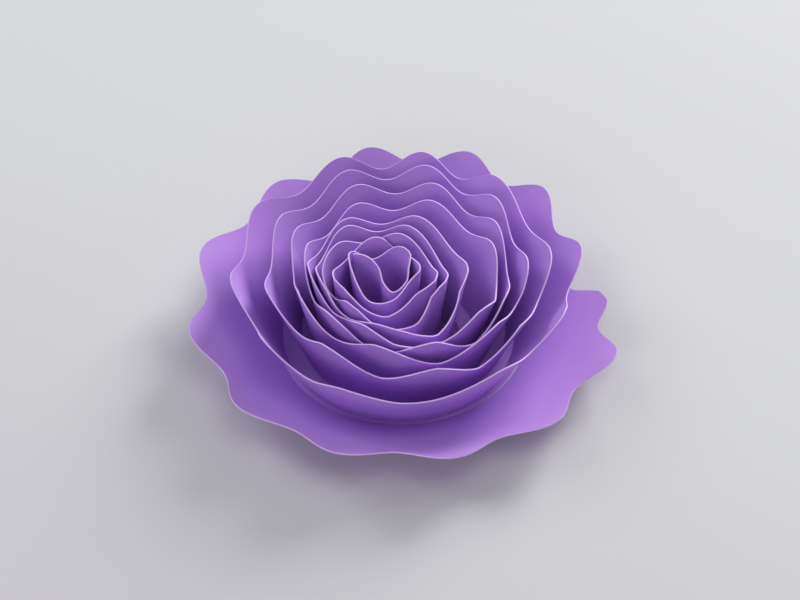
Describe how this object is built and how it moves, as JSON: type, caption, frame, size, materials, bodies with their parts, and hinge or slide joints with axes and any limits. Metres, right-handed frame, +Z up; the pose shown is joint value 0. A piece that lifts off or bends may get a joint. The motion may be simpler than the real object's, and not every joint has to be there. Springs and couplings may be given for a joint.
{
  "type": "rolled paper flower",
  "caption": "Flower rolled from one spiral strip of purple card with a wavy edge, its outer turn spread flat as a skirt, standing on its own round tab.",
  "frame": {"origin": "centre of the round tab's underside, which the flower rests on", "axes": "+Z up out of the flower's heart, -Y towards the front of the picture, +X to its right"},
  "size_m": [0.0906, 0.0902, 0.0225],
  "materials": {
    "purple_card": "matte, fine fibre grain",
    "set_glue": "cloudy set hot-melt glue"
  },
  "bodies": {
    "root": {"petal_spiral": "purple_card", "glue_pad": "set_glue"}
  },
  "joints": []
}
